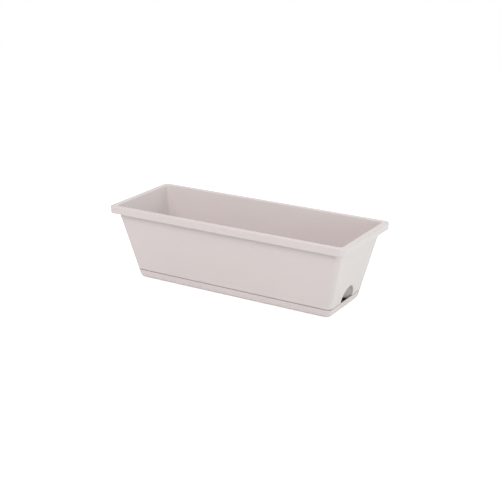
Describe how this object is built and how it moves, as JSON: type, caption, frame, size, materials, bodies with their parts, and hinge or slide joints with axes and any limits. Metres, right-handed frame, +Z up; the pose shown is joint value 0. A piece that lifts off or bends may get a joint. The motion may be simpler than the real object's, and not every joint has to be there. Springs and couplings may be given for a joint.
{
  "type": "rectangular planter with water tray",
  "caption": "Tapered rectangular planter box with a turned-down rim, half-round water notches and a raised drained floor, lifting off a shallow water tray",
  "frame": {"origin": "on the ground under the middle of the tray", "axes": "+X along the length, +Y across the width, +Z up"},
  "size_m": [0.495, 0.188, 0.145],
  "materials": {
    "box_plastic": "matte warm off-white moulded plastic",
    "tray_plastic": "matte warm off-white moulded plastic"
  },
  "bodies": {
    "tray": {"water_tray": "tray_plastic"},
    "box": {"planter_box": "box_plastic"}
  },
  "joints": [
    {"name": "box_lift", "type": "slide", "parent": "tray", "child": "box", "axis": [0, 0, 1], "range_m": [0, 0.06]}
  ]
}
